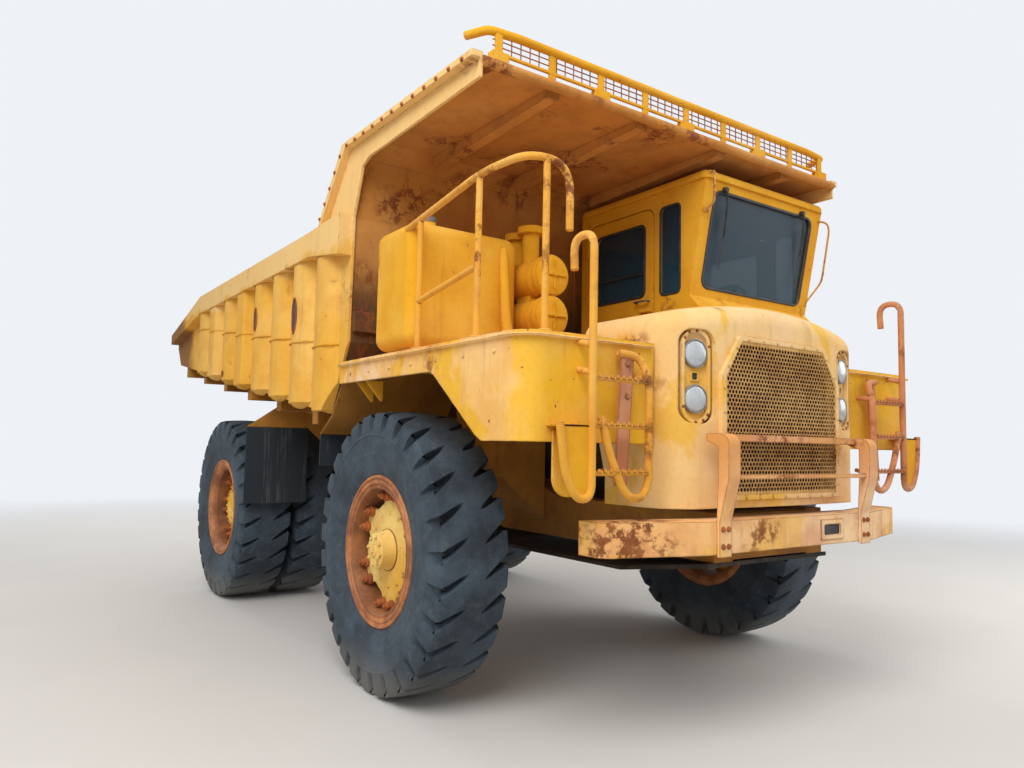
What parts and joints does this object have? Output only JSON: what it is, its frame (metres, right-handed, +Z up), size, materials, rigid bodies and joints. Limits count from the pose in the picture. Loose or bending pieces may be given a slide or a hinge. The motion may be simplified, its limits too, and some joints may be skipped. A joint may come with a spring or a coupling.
{
  "type": "rigid dump truck",
  "caption": "Two-axle quarry dump truck with a steep-sided tipping bed, a canopy over the offset cab, dual rear wheels and a barrel-shaped nose with a perforated grille",
  "frame": {"origin": "on the ground, at the middle of the truck's length and width", "axes": "+X to the truck's left, +Y to its tail, +Z up"},
  "size_m": [3.66, 8.285, 4.0259],
  "materials": {
    "yellow_paint": "faded and chipped yellow paint",
    "faded_paint": "sun-bleached yellow paint",
    "canopy_paint": "weathered orange-brown paint with rust",
    "rusty_paint": "worn pink-orange paint with rust",
    "rust_steel": "rusty steel",
    "cast_dark": "dirty dark cast iron",
    "bare_steel": "plain steel",
    "tyre_rubber": "weathered dark rubber",
    "flap_rubber": "dusty black rubber",
    "lamp_glass": "clear lamp glass over a bright reflector",
    "cab_glass": "tinted clear glass",
    "seat_vinyl": "black vinyl",
    "cab_black": "black moulded plastic"
  },
  "bodies": {
    "frame": {"main_frame": "yellow_paint", "cross_members": "yellow_paint", "front_bumper": "rusty_paint", "nose": "faded_paint", "grille": "rust_steel", "headlamps": "lamp_glass", "engine": "cast_dark", "belly_guard": "cast_dark", "deck_right": "yellow_paint", "deck_left": "yellow_paint", "tank": "yellow_paint", "air_cleaners": "yellow_paint", "handrails": "yellow_paint", "cab_shell": "yellow_paint", "cab_roof": "yellow_paint", "cab_glass": "cab_glass", "seat_cushions": "seat_vinyl", "cab_inside": "cab_black", "guards": "yellow_paint", "flaps": "flap_rubber", "rear_axle": "yellow_paint", "struts": "yellow_paint"},
    "bed": {"bed_floor": "yellow_paint", "hoist_ears": "yellow_paint", "bed_side_right": "yellow_paint", "bed_side_left": "yellow_paint", "canopy": "canopy_paint", "canopy_rail": "yellow_paint"},
    "door_right": {"door_right": "yellow_paint", "door_glass_right": "cab_glass"},
    "door_left": {"door_left": "yellow_paint", "door_glass_left": "cab_glass"},
    "knuckle_right": {"knuckle_right": "yellow_paint"},
    "front_wheel_right": {"wheel_front_right": "yellow_paint", "tyre_front_right": "tyre_rubber"},
    "rear_wheels_right": {"wheel_rear_right": "yellow_paint", "tyres_rear_right": "tyre_rubber"},
    "hoist_barrel_right": {"hoist_barrel_right": "yellow_paint"},
    "hoist_sleeve_right": {"hoist_sleeve_right": "bare_steel"},
    "hoist_rod_right": {"hoist_rod_right": "bare_steel"},
    "knuckle_left": {"knuckle_left": "yellow_paint"},
    "front_wheel_left": {"wheel_front_left": "yellow_paint", "tyre_front_left": "tyre_rubber"},
    "rear_wheels_left": {"wheel_rear_left": "yellow_paint", "tyres_rear_left": "tyre_rubber"},
    "hoist_barrel_left": {"hoist_barrel_left": "yellow_paint"},
    "hoist_sleeve_left": {"hoist_sleeve_left": "bare_steel"},
    "hoist_rod_left": {"hoist_rod_left": "bare_steel"}
  },
  "joints": [
    {"name": "bed_lift", "type": "hinge", "parent": "frame", "child": "bed", "pos_m": [0, 2.5525, 1.76], "axis": [-1, 0, 0], "range_deg": [0, 55]},
    {"name": "steer_right", "type": "hinge", "parent": "frame", "child": "knuckle_right", "pos_m": [-1.02, -2.1675, 0.9], "axis": [0, 0, 1], "range_deg": [-38, 38]},
    {"name": "spin_front_right", "type": "hinge", "parent": "knuckle_right", "child": "front_wheel_right", "pos_m": [-1.555, -2.1675, 0.9], "axis": [1, 0, 0], "continuous": true},
    {"name": "spin_rear_right", "type": "hinge", "parent": "frame", "child": "rear_wheels_right", "pos_m": [-1.555, 1.5425, 0.9], "axis": [1, 0, 0], "continuous": true},
    {"name": "hoist_swing_right", "type": "hinge", "parent": "frame", "child": "hoist_barrel_right", "pos_m": [-0.64, 0.8325, 0.8], "axis": [-1, 0, 0], "range_deg": [0, 24.5]},
    {"name": "hoist_stage1_right", "type": "slide", "parent": "hoist_barrel_right", "child": "hoist_sleeve_right", "axis": [0, -0.1272, 0.9919], "range_m": [0, 0.8023]},
    {"name": "hoist_stage2_right", "type": "slide", "parent": "hoist_sleeve_right", "child": "hoist_rod_right", "axis": [0, -0.1272, 0.9919], "range_m": [0, 0.8023]},
    {"name": "door_swing_right", "type": "hinge", "parent": "frame", "child": "door_right", "pos_m": [0.284, -1.8475, 2.85], "axis": [0, 0, -1], "range_deg": [0, 80]},
    {"name": "steer_left", "type": "hinge", "parent": "frame", "child": "knuckle_left", "pos_m": [1.02, -2.1675, 0.9], "axis": [0, 0, 1], "range_deg": [-38, 38]},
    {"name": "spin_front_left", "type": "hinge", "parent": "knuckle_left", "child": "front_wheel_left", "pos_m": [1.555, -2.1675, 0.9], "axis": [1, 0, 0], "continuous": true},
    {"name": "spin_rear_left", "type": "hinge", "parent": "frame", "child": "rear_wheels_left", "pos_m": [1.555, 1.5425, 0.9], "axis": [1, 0, 0], "continuous": true},
    {"name": "hoist_swing_left", "type": "hinge", "parent": "frame", "child": "hoist_barrel_left", "pos_m": [0.64, 0.8325, 0.8], "axis": [-1, 0, 0], "range_deg": [0, 24.5]},
    {"name": "hoist_stage1_left", "type": "slide", "parent": "hoist_barrel_left", "child": "hoist_sleeve_left", "axis": [0, -0.1272, 0.9919], "range_m": [0, 0.8023]},
    {"name": "hoist_stage2_left", "type": "slide", "parent": "hoist_sleeve_left", "child": "hoist_rod_left", "axis": [0, -0.1272, 0.9919], "range_m": [0, 0.8023]},
    {"name": "door_swing_left", "type": "hinge", "parent": "frame", "child": "door_left", "pos_m": [1.736, -1.8475, 2.85], "axis": [0, 0, 1], "range_deg": [0, 80]}
  ],
  "couplings": [
    {"joint": "hoist_swing_right", "follows": "bed_lift", "ratio": 0.44181},
    {"joint": "hoist_stage1_right", "follows": "bed_lift", "m_per_rad": 0.83054},
    {"joint": "hoist_stage2_right", "follows": "bed_lift", "m_per_rad": 0.83054},
    {"joint": "hoist_swing_left", "follows": "bed_lift", "ratio": 0.44181},
    {"joint": "hoist_stage1_left", "follows": "bed_lift", "m_per_rad": 0.83054},
    {"joint": "hoist_stage2_left", "follows": "bed_lift", "m_per_rad": 0.83054},
    {"joint": "steer_left", "follows": "steer_right", "ratio": 1}
  ]
}
